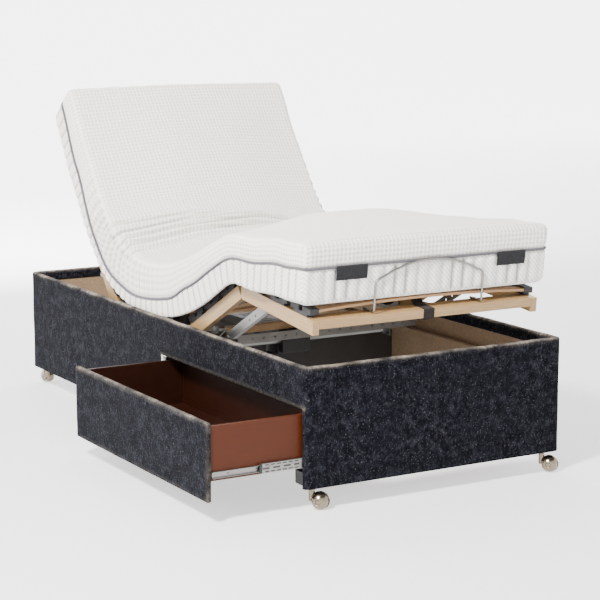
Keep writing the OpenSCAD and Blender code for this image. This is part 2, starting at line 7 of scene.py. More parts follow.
import bmesh
import bpy
from mathutils import Matrix, Vector, noise
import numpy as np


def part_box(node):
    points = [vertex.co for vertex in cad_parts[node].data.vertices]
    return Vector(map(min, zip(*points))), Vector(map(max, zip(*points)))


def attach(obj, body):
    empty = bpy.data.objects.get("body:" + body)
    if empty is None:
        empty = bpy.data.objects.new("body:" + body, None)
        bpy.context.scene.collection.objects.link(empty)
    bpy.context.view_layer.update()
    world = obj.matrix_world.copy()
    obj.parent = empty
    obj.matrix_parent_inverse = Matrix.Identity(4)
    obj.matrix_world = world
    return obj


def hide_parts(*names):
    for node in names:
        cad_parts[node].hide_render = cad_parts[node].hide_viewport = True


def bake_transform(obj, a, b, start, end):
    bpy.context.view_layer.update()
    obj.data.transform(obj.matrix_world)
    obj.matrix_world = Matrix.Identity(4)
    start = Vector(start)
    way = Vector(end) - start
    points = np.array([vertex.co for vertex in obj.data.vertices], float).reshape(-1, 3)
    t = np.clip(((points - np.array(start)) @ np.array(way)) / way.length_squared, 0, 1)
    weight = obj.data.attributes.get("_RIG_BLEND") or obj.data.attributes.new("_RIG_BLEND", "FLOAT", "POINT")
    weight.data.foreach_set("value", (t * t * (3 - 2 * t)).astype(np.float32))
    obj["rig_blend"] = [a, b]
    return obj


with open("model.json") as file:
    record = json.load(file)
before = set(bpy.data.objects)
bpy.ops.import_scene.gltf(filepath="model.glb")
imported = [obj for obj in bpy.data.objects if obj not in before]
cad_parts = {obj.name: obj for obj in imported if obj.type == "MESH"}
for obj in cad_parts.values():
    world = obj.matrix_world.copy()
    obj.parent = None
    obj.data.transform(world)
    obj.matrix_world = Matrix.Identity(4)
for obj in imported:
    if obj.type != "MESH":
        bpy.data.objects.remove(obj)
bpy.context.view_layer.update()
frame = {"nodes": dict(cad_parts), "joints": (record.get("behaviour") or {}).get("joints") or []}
JOINTS = {j["name"]: j for j in frame["joints"]}
MID = 0.15
HALF_W, HALF_L = 0.45, 1.0
BACK, THIGH, CALF = math.radians(51), math.radians(-28.5), math.radians(6)


# ---- Camera, light and floor ----


def aim(obj, place, way):
    obj.location = place
    obj.rotation_euler = Vector(way).to_track_quat("-Z", "Y").to_euler()
    bpy.context.scene.collection.objects.link(obj)


def soft_light(name, place, target, size, power, colour=(1, 1, 1)):
    lamp = bpy.data.lights.new(name, "AREA")
    lamp.shape, lamp.size, lamp.energy, lamp.color = "DISK", size, power, colour
    aim(bpy.data.objects.new(name, lamp), place, Vector(target) - Vector(place))


def studio():
    yaw, pitch = math.radians(30.27), math.radians(9.82)
    cam = bpy.data.objects.new("camera", bpy.data.cameras.new("camera"))
    cam.data.lens, cam.data.sensor_width = 112.27, 36
    aim(cam, (-2.88, -5.391, 1.492),
        (math.sin(yaw) * math.cos(pitch), math.cos(yaw) * math.cos(pitch), -math.sin(pitch)))
    bpy.context.scene.camera = cam
    world = bpy.data.worlds.new("studio")
    bpy.context.scene.world = world
    world.use_nodes = True
    sky = world.node_tree.nodes["Background"].inputs
    sky["Color"].default_value, sky["Strength"].default_value = (0.97, 0.985, 1, 1), 0.22
    soft_light("key", (-3.5, -2.5, 4.3), (0, -0.1, 0.5), 0.9, 980, (1, 0.98, 0.95))
    soft_light("top", (0.7, 1.6, 4.2), (0.1, 0, 0.5), 2.0, 110)
    soft_light("sweep", (0.6, 3.4, 2.6), (2.2, 9, 1.2), 3.0, 900)
    paper = Finish("studio_paper")
    split = paper.tree.nodes.new("ShaderNodeSeparateXYZ")
    paper.set({0: paper.place()}, split)
    toward_head = paper.maths("MULTIPLY", split.outputs[1], 0.1)
    glow = paper.maths("MULTIPLY", paper.ramp(toward_head, (0.05, 0.26), (0.9, 1.0)), 3.7)
    paper.set({"Base Color": (0.62, 0.62, 0.62, 1), "Roughness": 0.9, "Emission Color": (1, 1, 1, 1),
               "Emission Strength": glow})
    # A round paper dish: flat floor, wide curve and wall
    flat, curve, steps, around = 13.0, 5, 12, 72
    line = [(0.2, 0.0), (4.0, 0.0), (flat, 0.0)]
    for k in range(1, steps + 1):
        a = math.pi / 2 * k / steps
        line.append((flat + curve * math.sin(a), curve - curve * math.cos(a)))
    line.append((flat + curve, 14.0))
    points = [(r * math.cos(2 * math.pi * k / around), r * math.sin(2 * math.pi * k / around), z)
              for r, z in line for k in range(around)]
    faces = [tuple(range(around))]
    for i in range(len(line) - 1):
        a, b = i * around, (i + 1) * around
        faces += [(a + k, a + (k + 1) % around, b + (k + 1) % around, b + k) for k in range(around)]
    data = bpy.data.meshes.new("sweep")
    data.from_pydata(points, [], faces)
    for face in data.polygons:
        face.use_smooth = True
    sweep = bpy.data.objects.new("sweep", data)
    bpy.context.scene.collection.objects.link(sweep)
    data.materials.append(paper.mat)


# ---- Materials ----


class Finish:
    """A node material that is built up a step at a time."""

    def __init__(self, name):
        self.mat = bpy.data.materials.new(name)
        self.mat.use_nodes = True
        self.tree = self.mat.node_tree
        self.shader = self.tree.nodes["Principled BSDF"]

    def set(self, values, on=None):
        for key, value in values.items():
            socket = (on or self.shader).inputs[key]
            if isinstance(value, bpy.types.NodeSocket):
                self.tree.links.new(value, socket)
            else:
                socket.default_value = value

    def add(self, kind, values, out=0, **settings):
        made = self.tree.nodes.new("ShaderNode" + kind)
        for key, value in settings.items():
            setattr(made, key, value)
        self.set(values, made)
        return made.outputs[out]

    def place(self, scale=(1, 1, 1), turn=(0, 0, 0), kind="Object"):
        """Texture coordinates in metres, turned and then scaled."""
        where = self.add("TexCoord", {}, kind)
        turned = self.add("Mapping", {"Vector": where, "Rotation": turn})
        return self.add("Mapping", {"Vector": turned, "Scale": scale})

    def noise(self, where, scale, detail=4.0, rough=0.55, bend=0.0):
        return self.add("TexNoise", {"Vector": where, "Scale": scale, "Detail": detail,
                                     "Roughness": rough, "Distortion": bend})

    def ramp(self, value, *stops):
        node = self.tree.nodes.new("ShaderNodeValToRGB")
        self.set({0: value}, node)
        bar = node.color_ramp
        while len(bar.elements) < len(stops):
            bar.elements.new(0.5)
        for stop, (at, colour) in zip(bar.elements, stops):
            stop.position = at
            stop.color = (colour,) * 3 + (1,) if isinstance(colour, (int, float)) else (*colour, 1)
        return node.outputs[0]

    def mix(self, share, a, b, how="MIX"):
        return self.add("Mix", {0: share, 6: a, 7: b}, 2, data_type="RGBA", blend_type=how)

    def maths(self, how, a, b=0.0):
        return self.add("Math", {0: a, 1: b}, operation=how)

    def bump(self, height, depth, strength=1.0, over=None):
        values = {"Height": height, "Distance": depth, "Strength": strength}
        if over is not None:
            values["Normal"] = over
        return self.add("Bump", values)


def rgba(colour, by=1.0):
    return tuple(c * by for c in colour) + (1,)


def velvet():
    """Crushed velvet: patches where the pile lies one way or the other, with short bright flecks that are
    painted glints, and paler edges that are partly rubbed pile and partly painted highlight.
    """
    f = Finish("velvet")
    where = f.place()
    pull = f.noise(where, 7, 3)
    patch = f.noise(where, 34, 10, 0.78, 0.35)
    fleck = f.noise(f.place((1, 1, 0.6)), 120, 5, 0.75, 0.3)
    crush = f.maths("ADD", f.maths("MULTIPLY", patch, 0.6), f.maths("MULTIPLY", fleck, 0.4))
    tone = f.ramp(crush, (0.43, (0.0005, 0.0006, 0.0016)), (0.5, (0.0034, 0.0037, 0.0062)),
                  (0.57, (0.0162, 0.0169, 0.0222)))
    tone = f.mix(f.ramp(pull, (0.35, 0.0), (0.7, 0.4)), tone, rgba((0.0037, 0.004, 0.0064)))
    # Painted glints: short bright flecks mixed into the colour.
    painted_glint = f.ramp(f.noise(where, 190, 3, 0.6), (0.6, 0.0), (0.68, 0.7))
    tone = f.mix(painted_glint, tone, rgba((0.066, 0.066, 0.068)))
    # Paler edges from the per-point attribute: partly rubbed pile, partly painted highlight.
    rub_and_highlight = f.add("Attribute", {}, "Fac", attribute_name="rub_and_highlight")
    rub_and_highlight = f.maths("MULTIPLY", rub_and_highlight, f.ramp(f.noise(where, 60, 5, 0.7), (0.34, 0.15), (0.62, 0.9)))
    tone = f.mix(rub_and_highlight, tone, rgba((0.3, 0.26, 0.215)))
    soft = f.bump(crush, 0.006, 0.8)
    f.set({"Base Color": tone, "Roughness": 0.8, "Sheen Weight": 0.012, "Sheen Roughness": 0.4,
           "Sheen Tint": (0.62, 0.66, 0.75, 1), "Specular IOR Level": 0.04,
           "Normal": f.bump(f.noise(where, 900, 2), 0.0008, 0.5, soft)})
    return f.mat


def timber(name, pale, dark, turn=0.0, along="Y", gloss=0.42, flecks=0.5):
    """Planed wood whose grain runs along X, or along Y turned about X."""
    f = Finish(name)
    stretch = (1, 14, 14) if along == "X" else (14, 1, 14)
    where = f.place(stretch, (-turn, 0, 0))
    grain = f.noise(where, 9, 7, 0.6, 0.9)
    broad = f.noise(where, 1.6, 3)
    tone = f.mix(f.ramp(grain, (0.35, 0.0), (0.7, 1.0)), rgba(pale), rgba(dark))
    tone = f.mix(f.ramp(broad, (0.3, 0.0), (0.75, 0.5)), tone, rgba(pale, 0.82))
    marks = f.ramp(f.noise(where, 42, 2, 0.5), (0.66, 0.0), (0.72, flecks))
    tone = f.mix(marks, tone, rgba(dark, 0.62))
    f.set({"Base Color": tone, "Roughness": f.ramp(grain, (0.3, gloss), (0.8, gloss + 0.14)),
           "Coat Weight": 0.15, "Coat Roughness": 0.35, "Normal": f.bump(grain, 0.0006, 0.35)})
    return f.mat


def chipboard():
    f = Finish("chipboard")
    where = f.place()
    chips = f.add("TexVoronoi", {"Vector": f.place((1, 1, 2.2)), "Scale": 210.0}, "Color")
    grey = f.add("SeparateColor", {"Color": chips}, 0)
    tone = f.ramp(grey, (0.1, (0.165, 0.108, 0.06)), (0.5, (0.2, 0.135, 0.078)),
                  (0.95, (0.24, 0.168, 0.1)))
    tone = f.mix(f.ramp(f.noise(where, 5, 3), (0.35, 0.0), (0.7, 0.6)), tone,
                 rgba((0.17, 0.105, 0.058)))
    f.set({"Base Color": tone, "Roughness": 0.75, "Normal": f.bump(grey, 0.0006, 0.4)})
    return f.mat


def melamine():
    f = Finish("terracotta_board")
    where = f.place((3, 3, 16))
    vein = f.noise(where, 7, 6, 0.6, 0.6)
    tone = f.ramp(vein, (0.3, (0.044, 0.0082, 0.0009)), (0.62, (0.052, 0.0098, 0.0011)),
                  (0.8, (0.047, 0.0088, 0.001)))
    # Painted shade: the colour darkens from y = -0.94 to y = -0.8, so all of the drawer but its foot-end side
    # looks shaded inside the base.
    split = f.tree.nodes.new("ShaderNodeSeparateXYZ")
    f.set({0: f.place()}, split)
    shade_inside_base = f.ramp(f.maths("ADD", split.outputs[1], 1.0), (0.06, 0.0), (0.2, 0.86))
    tone = f.mix(shade_inside_base, tone, rgba((0.007, 0.0016, 0.0006)))
    f.set({"Base Color": tone, "Roughness": f.ramp(vein, (0.3, 0.42), (0.8, 0.52)),
           "Specular IOR Level": 0.2, "Normal": f.bump(f.noise(f.place(), 420, 2), 0.0003, 0.25)})
    return f.mat


def metal(name, colour, gloss, spots=0.12):
    """Plated steel with faint spangle, drawing lines and handling marks."""
    f = Finish(name)
    where = f.place()
    cells = f.add("TexVoronoi", {"Vector": where, "Scale": 120.0}, "Color")
    spangle = f.add("SeparateColor", {"Color": cells}, 0)
    smear = f.noise(where, 18, 5, 0.65)
    tone = f.mix(f.ramp(spangle, (0.0, 0.0), (1.0, spots)), rgba(colour), rgba(colour, 0.7))
    tone = f.mix(f.ramp(smear, (0.5, 0.0), (0.8, 0.35)), tone, rgba(colour, 0.62))
    lines = f.noise(f.place((1, 40, 40)), 30, 2)
    f.set({"Base Color": tone, "Metallic": 1.0,
           "Roughness": f.ramp(smear, (0.3, gloss), (0.75, gloss + 0.16)),
           "Normal": f.bump(lines, 0.0002, 0.2)})
    return f.mat


def plain(name, colour, rough, grain=600.0, depth=0.0004, uneven=0.15):
    """Rubber, nylon or plastic with a fine moulded grain and slightly uneven tone."""
    f = Finish(name)
    where = f.place()
    cloud = f.noise(where, 14, 4)
    tone = f.mix(f.ramp(cloud, (0.3, 0.0), (0.75, uneven * 2)), rgba(colour), rgba(colour, 0.6))
    f.set({"Base Color": tone, "Roughness": f.ramp(cloud, (0.3, rough), (0.8, min(1, rough + 0.1))),
           "Normal": f.bump(f.noise(where, grain, 3), depth, 0.5)})
    return f.mat


def weave(name, colour, pitch=0.0016):
    """Flat woven tape: warp and weft ribs at right angles."""
    f = Finish(name)
    split = f.tree.nodes.new("ShaderNodeSeparateXYZ")
    f.set({0: f.place((2 * math.pi / pitch,) * 3)}, split)
    rib = f.maths("SINE", split.outputs[0])
    pick = f.maths("SINE", f.maths("ADD", split.outputs[1], split.outputs[2]))
    cloth = f.maths("MULTIPLY", rib, pick)
    tone = f.mix(f.ramp(cloth, (0.2, 0.0), (0.9, 0.7)), rgba(colour, 0.55), rgba(colour, 1.25))
    f.set({"Base Color": tone, "Roughness": 0.86, "Sheen Weight": 0.04, "Specular IOR Level": 0.2,
           "Normal": f.bump(cloth, 0.0006, 0.6)})
    return f.mat


def knit(name, colour, pitch, relief, dim, stripes=False):
    """Knitted cover on its own flat coordinates: a lattice of dimples, or a diagonal twill, with painted
    shade in the hollows and in the grooves, pleats and creases.
    """
    f = Finish(name)
    split = f.tree.nodes.new("ShaderNodeSeparateXYZ")
    flat = f.add("UVMap", {}, uv_map="flat")
    f.set({0: flat}, split)
    along = f.maths("MULTIPLY", split.outputs[0], 2 * math.pi / pitch)
    across = f.maths("MULTIPLY", split.outputs[1], 2 * math.pi / pitch)
    one = f.maths("SINE", f.maths("ADD", along, across))
    two = f.maths("SINE", f.maths("SUBTRACT", along, across))
    if stripes:
        two = f.maths("MULTIPLY", two, 0.35)
        cell = f.maths("MULTIPLY", f.maths("ADD", one, two), 0.5)
    else:
        cell = f.maths("MULTIPLY", one, two)
    where = f.place()
    cell = f.maths("MULTIPLY", f.maths("ADD", cell, 1.0), 0.5)
    # Painted shade in the hollows of the dimples or the twill.
    shade = f.ramp(cell, (0.05, dim), (0.6, 0.0))
    tone = f.mix(shade, rgba(colour), rgba((0.42, 0.39, 0.34)))
    tone = f.mix(f.ramp(f.noise(where, 4, 3), (0.4, 0.0), (0.8, 0.12)), tone, rgba((0.7, 0.65, 0.56)))
    # Painted shade from the "fold" attribute: quilting grooves, pleats at the waist, creases and the line
    # under the piping.
    tone = f.mix(f.add("Attribute", {}, "Fac", attribute_name="fold"), tone,
                 rgba((0.2, 0.182, 0.15)))
    thread = f.bump(f.noise(flat, 700, 2), 0.0006, 0.35)
    f.set({"Base Color": tone, "Roughness": 0.92, "Sheen Weight": 0.18, "Sheen Roughness": 0.5,
           "Specular IOR Level": 0.2, "Subsurface Weight": 0.04, "Subsurface Radius": (0.01,) * 3,
           "Normal": f.bump(cell, relief, 0.8, thread)})
    return f.mat


PALE_BEECH, BROWN_BEECH = (0.32, 0.2, 0.085), (0.24, 0.135, 0.052)
ZINC = (0.25, 0.247, 0.238)


def make_finishes():
    rail = {n: timber("beech_" + n, PALE_BEECH, BROWN_BEECH, a) for n, a in
            (("flat", 0.0), ("back", BACK), ("thigh", THIGH), ("calf", CALF))}
    cross = timber("beech_across", PALE_BEECH, BROWN_BEECH, along="X")
    slat = timber("slat_beech", (0.38, 0.215, 0.09), (0.24, 0.12, 0.047), along="X", gloss=0.34)
    pine = timber("pine", (0.68, 0.51, 0.32), (0.5, 0.32, 0.17), flecks=0.2)
    return {
        "velvet": velvet(), "chipboard": chipboard(), "pine": pine, "cross": cross,
        "slat_beech": slat, "melamine": melamine(),
        "dark_board": plain("dark_board", (0.012, 0.009, 0.007), 0.6, 300.0),
        "rubber": plain("rubber", (0.015, 0.014, 0.017), 0.62),
        "webbing": weave("webbing", (0.02, 0.013, 0.012)), "zinc": metal("zinc_steel", ZINC, 0.34),
        "wire": metal("bright_wire", (0.27, 0.255, 0.24), 0.25, 0.03),
        "nylon": plain("nylon", (0.03, 0.031, 0.034), 0.45, 300.0, 0.0002),
        "black": plain("black_plastic", (0.008, 0.0085, 0.0095), 0.42, 900.0),
        "chrome": metal("tinted_chrome", (0.24, 0.2, 0.15), 0.16, 0.03),
        "knit": knit("knit_top", (0.83, 0.81, 0.755), 0.027, 0.003, 0.62),
        "border": knit("knit_border", (0.83, 0.815, 0.79), 0.0135, 0.0026, 0.7, True),
        "piping": weave("piping_tape", (0.16, 0.153, 0.18), 0.003),
        "label": weave("blank_label", (0.02, 0.02, 0.023), 0.0012),
        "trim": plain("white_edging", (0.8, 0.8, 0.78), 0.4, 300.0, 0.0002),
        **{"rail_" + n: m for n, m in rail.items()},
    }


# The finish of each CAD node whose name starts with the word, first match wins; and its bevel in mm
NODE_LOOKS = (
    ("velvet", "velvet", 0), ("drawer_front_cover", "velvet", 0), ("drawer_side_panel", "chipboard", 0.6),
    ("far_side_panel", "chipboard", 0.6), ("foot_panel", "chipboard", 0.6), ("head_panel", "chipboard", 0.6),
    ("drawer_front", "chipboard", 0.5), ("support_ledges", "chipboard", 1.2),
    ("divider_panel", "dark_board", 0.8), ("corner_blocks", "black", 1.5), ("drawer_", "melamine", 0.7),
    ("runner_", "zinc", 0.4),
    ("seat_rails", "rail_flat", 1.8), ("back_rails", "rail_back", 1.8), ("thigh_rails", "rail_thigh", 1.8),
    ("calf_rails", "rail_calf", 1.8), ("calf_foot_rail", "cross", 1.8), ("seat_brackets", "zinc", 0.6),
    ("centre_strap", "webbing", 0.4), ("retainer_bar", "wire", 0), ("drive_", "black", 1.5),
    ("tube_bushes", "nylon", 0.5), ("leg_glides", "nylon", 0.6), ("back_glides", "nylon", 0.6),
    ("castor_", "chrome", 0.5), ("mattress_", "knit", 0),
)


def look_of(name):
    for word, finish, bevel in NODE_LOOKS:
        if name.startswith(word):
            return finish, bevel
    if name.endswith("_slats"):
        return "slat_beech", 1.2
    if name.endswith("_caps"):
        return "rubber", 1.0
    return "zinc", 0.5


def ease_edges(obj, mm):
    """Joins the mesh's loose faces, then rounds its sharp edges."""
    obj.modifiers.new("join", "WELD").merge_threshold = 0.00005
    if mm:
        round_off = obj.modifiers.new("round", "BEVEL")
        round_off.width, round_off.segments = mm / 1000, 2
        round_off.limit_method, round_off.angle_limit = "ANGLE", math.radians(32)
        round_off.harden_normals = True


def dress_frame():
    for name, obj in frame["nodes"].items():
        finish, bevel = look_of(name)
        obj.data.materials.clear()
        obj.data.materials.append(FINISH[finish])
        ease_edges(obj, bevel)


# ---- Mesh helpers ----


def mesh_object(name, points, faces, finish, body=None):
    data = bpy.data.meshes.new(name)
    data.from_pydata([tuple(p) for p in points], [], faces)
    data.validate()
    for poly in data.polygons:
        poly.use_smooth = True
    data.materials.append(FINISH[finish])
    obj = bpy.data.objects.new(name, data)
    bpy.context.scene.collection.objects.link(obj)
    if body:
        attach(obj, body)
    return obj


def ease(t):
    t = max(0.0, min(1.0, t))
    return t * t * (3 - 2 * t)


def hump(x, width):
    return math.exp(-((x / width) ** 2))


def marks(low, high, radius, step):
    """Places along one axis of a rounded block: even in the middle and close together at its ends."""
    bend = [radius * (1 - math.tan(math.radians(a))) for a in (45, 30, 15)]
    n = max(1, round((high - low - 2 * radius) / step))
    middle = [low + radius + (high - low - 2 * radius) * i / n for i in range(n + 1)]
    return [low + b for b in bend] + middle + [high - b for b in reversed(bend)]


def rounded_block(low, high, radius, steps):
    """Points, outward directions and faces of a block with rounded edges, as one closed skin."""
    axes = [marks(low[i], high[i], radius, steps[i]) for i in range(3)]
    points, ways, faces, found = [], [], [], {}

    def corner(key):
        if key not in found:
            p = Vector([axes[i][key[i]] for i in range(3)])
            core = Vector([min(max(p[i], low[i] + radius), high[i] - radius) for i in range(3)])
            way = (p - core).normalized()
            found[key] = len(points)
            points.append(core + way * radius)
            ways.append(way)
        return found[key]

    for axis in range(3):
        u, v = (axis + 1) % 3, (axis + 2) % 3
        for end in (0, len(axes[axis]) - 1):
            for i in range(len(axes[u]) - 1):
                for j in range(len(axes[v]) - 1):
                    keys = []
                    for a, b in ((i, j), (i + 1, j), (i + 1, j + 1), (i, j + 1)):
                        key = [0, 0, 0]
                        key[axis], key[u], key[v] = end, a, b
                        keys.append(corner(tuple(key)))
                    faces.append(tuple(keys if end else reversed(keys)))
    return points, ways, faces


def tube(name, path, radius, finish, body, sides):
    """A round bar along a path, with flat ends."""
    points, faces = [], []
    n = len(path)
    # Never along the path, so that the rings do not twist
    up = Vector((0.0, 0.31, 0.95))
    for i, p in enumerate(path):
        before, after = path[max(i - 1, 0)], path[min(i + 1, n - 1)]
        way = (Vector(after) - Vector(before)).normalized()
        side = way.cross(up).normalized()
        lift = side.cross(way).normalized()
        for k in range(sides):
            a = 2 * math.pi * k / sides
            points.append(Vector(p) + side * (radius * math.cos(a)) + lift * (radius * math.sin(a)))
    for i in range(n - 1):
        for k in range(sides):
            a, b = i * sides, (i + 1) * sides
            faces.append((a + k, a + (k + 1) % sides, b + (k + 1) % sides, b + k))
    faces.append(tuple(reversed(range(sides))))
    faces.append(tuple(range((n - 1) * sides, n * sides)))
    return mesh_object(name, points, faces, finish, body)


def lathe(name, outline, place, way, finish, body, sides=28):
    """A turned piece: outline holds (radius, height) pairs along the direction way."""
    points, faces = [], []
    turn = Vector(way).to_track_quat("Z", "Y").to_matrix()
    for radius, height in outline:
        for k in range(sides):
            a = 2 * math.pi * k / sides
            points.append(Vector(place) + turn @ Vector((radius * math.cos(a), radius * math.sin(a), height)))
    for i in range(len(outline) - 1):
        for k in range(sides):
            a, b = i * sides, (i + 1) * sides
            faces.append((a + k, a + (k + 1) % sides, b + (k + 1) % sides, b + k))
    faces.append(tuple(reversed(range(sides))))
    faces.append(tuple(range((len(outline) - 1) * sides, len(outline) * sides)))
    return mesh_object(name, points, faces, finish, body)


def join(name, objs):
    """Makes one piece of several that ride on the same body."""
    bpy.ops.object.select_all(action="DESELECT")
    for o in objs:
        o.select_set(True)
    bpy.context.view_layer.objects.active = objs[0]
    bpy.ops.object.join()
    objs[0].name = objs[0].data.name = name
    return objs[0]


# ---- Velvet ----


def flat_noise(p, size, seed=0.0):
    return noise.noise(Vector((p[0] / size + seed, p[1] / size, p[2] / size)))


def set_rub_and_highlight(obj, values):
    obj.data.attributes.new("rub_and_highlight", "FLOAT", "POINT").data.foreach_set("value", values)


# The cover's top and bottom edges above the floor, and the radius of its upright corners
RIM, GAP, CORNER = 0.418, 0.065, 0.02
# The edges of the drawer opening
OPEN_FOOT, OPEN_HEAD, OPEN_TOP = -0.983, -0.086, 0.297


def plan_stations():
    """The arc centre and outward angle of each place round the base."""
    side_x, side_y = HALF_W - CORNER, HALF_L - CORNER
    # Where the foot edge of the drawer opening meets the rounded corner
    lean = math.degrees(math.asin((-OPEN_FOOT - side_y) / CORNER))
    across, lengthwise = 78, 180
    out = []
    quarter = [0, 15, 30, 45, 60, 75, 90]
    corners = ((-side_x, -side_y, 180), (side_x, -side_y, 270), (side_x, side_y, 0), (-side_x, side_y, 90))
    for (cx, cy, first), (next_x, next_y, _) in zip(corners, corners[1:] + corners[:1]):
        angles = sorted(set(quarter + ([lean] if first == 180 else [])))
        out += [(Vector((cx, cy)), math.radians(first + a)) for a in angles]
        count = across if next_y == cy else lengthwise
        run = [Vector((cx, cy)).lerp(Vector((next_x, next_y)), i / count) for i in range(1, count)]
        if first == 90:
            run = [p for p in run if abs(p.y - OPEN_HEAD) > 0.004] + [Vector((cx, OPEN_HEAD))]
            run.sort(key=lambda p: -p.y)
        out += [(p, math.radians(first + 90)) for p in run]
    return out


def base_cover():
    """The velvet from its hem under the base, up the sides and over the rim to its lining."""
    stations, r = plan_stations(), CORNER
    # Each row is an inset from the outer face and a height
    rows = [(0.017, GAP + 0.0012), (0.004, GAP), (0.001, GAP + 0.001), (0.0, GAP + 0.004)]
    z = GAP + 0.013
    while z < RIM - 0.014:
        rows.append((0.0, OPEN_TOP if abs(z - OPEN_TOP) < 0.006 else z))
        z += 0.0105
    rows += [(0.0, RIM - 0.007), (0.0008, RIM - 0.0035), (0.0028, RIM - 0.0012), (0.006, RIM), (0.013, RIM),
             (0.0162, RIM - 0.0012), (0.0182, RIM - 0.0035), (0.019, RIM - 0.007)]
    rows += [(0.019, RIM - 0.007 - 0.0058 * i) for i in range(1, 6)] + [(0.017, RIM - 0.036)]
    points, rub_and_highlight = [], []
    for centre, angle in stations:
        way = Vector((math.cos(angle), math.sin(angle)))
        for inset, z in rows:
            p = centre + way * (r - inset)
            puff = 0.0
            if inset == 0 and GAP + 0.01 < z < RIM - 0.01:
                puff = 0.0011 * flat_noise((p.x, p.y, z), 0.11) - 0.0006
            # A paler line along the rim, partly rubbed pile and partly painted highlight; more of it over the
            # drawer opening.
            at_rim = hump(z - RIM, 0.0048) * (0.62 + 1.1 * flat_noise((p.x, p.y, 0), 0.07, 3.1))
            slump = 0.0015 * flat_noise((p.x, p.y, z), 0.06, 7.7) if z > RIM - 0.012 else 0.0
            p = p + way * puff
            points.append((MID + p.x, p.y, z + slump))
            over_drawer = p.x < -0.44 and OPEN_FOOT - 0.01 < p.y < OPEN_HEAD
            near_top = hump(z - OPEN_TOP, 0.006) if over_drawer else 0.0
            rub_and_highlight.append(max(0.0, min(1.0, at_rim + 0.35 * near_top)))
    n, m = len(stations), len(rows)
    lining_rows = 6
    rim_of = [centre + Vector((math.cos(angle), math.sin(angle))) * r for centre, angle in stations]

    def in_opening(i):
        middle = (rim_of[i] + rim_of[(i + 1) % n]) / 2
        return middle.x < -0.449 and OPEN_FOOT < middle.y < OPEN_HEAD

    faces = []
    for i in range(n):
        open_here = in_opening(i)
        for j in range(m - 1):
            if open_here and rows[j + 1][1] <= OPEN_TOP + 1e-6 and j + 1 < m - lining_rows:
                continue
            a, b = i * m, ((i + 1) % n) * m
            faces.append((a + j, b + j, b + j + 1, a + j + 1))
    obj = mesh_object("base_velvet", points, faces, "velvet")
    set_rub_and_highlight(obj, rub_and_highlight)
    wrap_opening(obj)
    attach(obj, "root")
    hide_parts("velvet_cover")


def wrap_opening(obj):
    """Turns the cover inwards round the drawer opening."""
    bm = bmesh.new()
    bm.from_mesh(obj.data)
    layer = bm.verts.layers.float["rub_and_highlight"]

    def on_edge(v):
        x, y, z = v.co.x - MID, v.co.y, v.co.z
        if x > -0.44 or z > OPEN_TOP + 0.004:
            return False
        return abs(z - OPEN_TOP) < 0.004 or abs(y - OPEN_HEAD) < 0.002 or abs(y - OPEN_FOOT) < 0.002

    edges = [e for e in bm.edges if e.is_boundary and all(on_edge(v) for v in e.verts)]
    for depth, spread in ((0.0012, 0.0008), (0.0135, 0.0)):
        made = bmesh.ops.extrude_edge_only(bm, edges=edges)["geom"]
        for v in (g for g in made if isinstance(g, bmesh.types.BMVert)):
            v.co.x += depth
            # The turned-in lip gets some of the paler edge: rubbed pile and painted highlight.
            v[layer] = 0.3 if spread else 0.0
        edges = [g for g in made if isinstance(g, bmesh.types.BMEdge) and all(
            w in made for w in g.verts)]
        edges = [e for e in edges if e.is_boundary]
    bm.to_mesh(obj.data)
    bm.free()


def drawer_cover():
    """The velvet on the drawer front, with paler edges that are partly rubbed pile and partly painted
    highlight.
    """
    low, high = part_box("drawer_front_cover")
    points, ways, faces = rounded_block(low, high, 0.0055, (0.006, 0.011, 0.011))
    soft, rub_and_highlight = [], []
    middle, half = (low + high) / 2, (high - low) / 2
    for p, way in zip(points, ways):
        near = [1 - abs(p[i] - middle[i]) / half[i] for i in (1, 2)]
        edge = max(hump(near[0] * half[1], 0.006), hump(near[1] * half[2], 0.006))
        puff = 0.0012 * (1 - edge) + 0.0009 * flat_noise(p, 0.08, 2.0) - 0.0012
        soft.append(p + Vector(way) * puff)
        # Paler edges, partly rubbed pile and partly painted highlight, strongest along the top edge.
        edge_rub_and_highlight = 0.22 + 0.3 * (p.z > middle.z + 0.9 * half.z)
        rub_and_highlight.append(edge * edge_rub_and_highlight * (0.8 + 1.2 * flat_noise(p, 0.05, 5.0)))
    obj = mesh_object("drawer_front_velvet", soft, faces, "velvet")
    set_rub_and_highlight(obj, [max(0.0, min(1.0, w)) for w in rub_and_highlight])
    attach(obj, "drawer")
    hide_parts("drawer_front_cover", "drawer_front")


# ---- Mattress ----

# Half the mattress's width, its thickness, and the height of the corded seam before bending
WIDE, THICK, PIPE = 0.425, 0.18, 0.106
# The mattress's underside above the back and thigh hinges, and above the floor at the seat
DECK, SEAT_Z = 0.045, 0.432
# How far the mattress reaches beyond the knee and back hinges
CALF_RUN, BACK_RUN = 0.411, 0.75
# The knee hinge when the bed is flat
KNEE_Y, KNEE_Z = -0.55282, 0.357
# Creases across the waist: offset along the mattress, depth, reach as a share of the width, slant
CREASES = ((-0.055, 0.012, 0.8, 0.5), (-0.005, 0.016, 1.1, 0.35), (0.06, 0.013, 0.9, -0.3),
           (0.125, 0.008, 0.6, -0.7), (-0.11, 0.007, 0.55, 0.6))
# The three pieces, from the foot end
CUT_NAMES = ("legs", "lap", "upper")


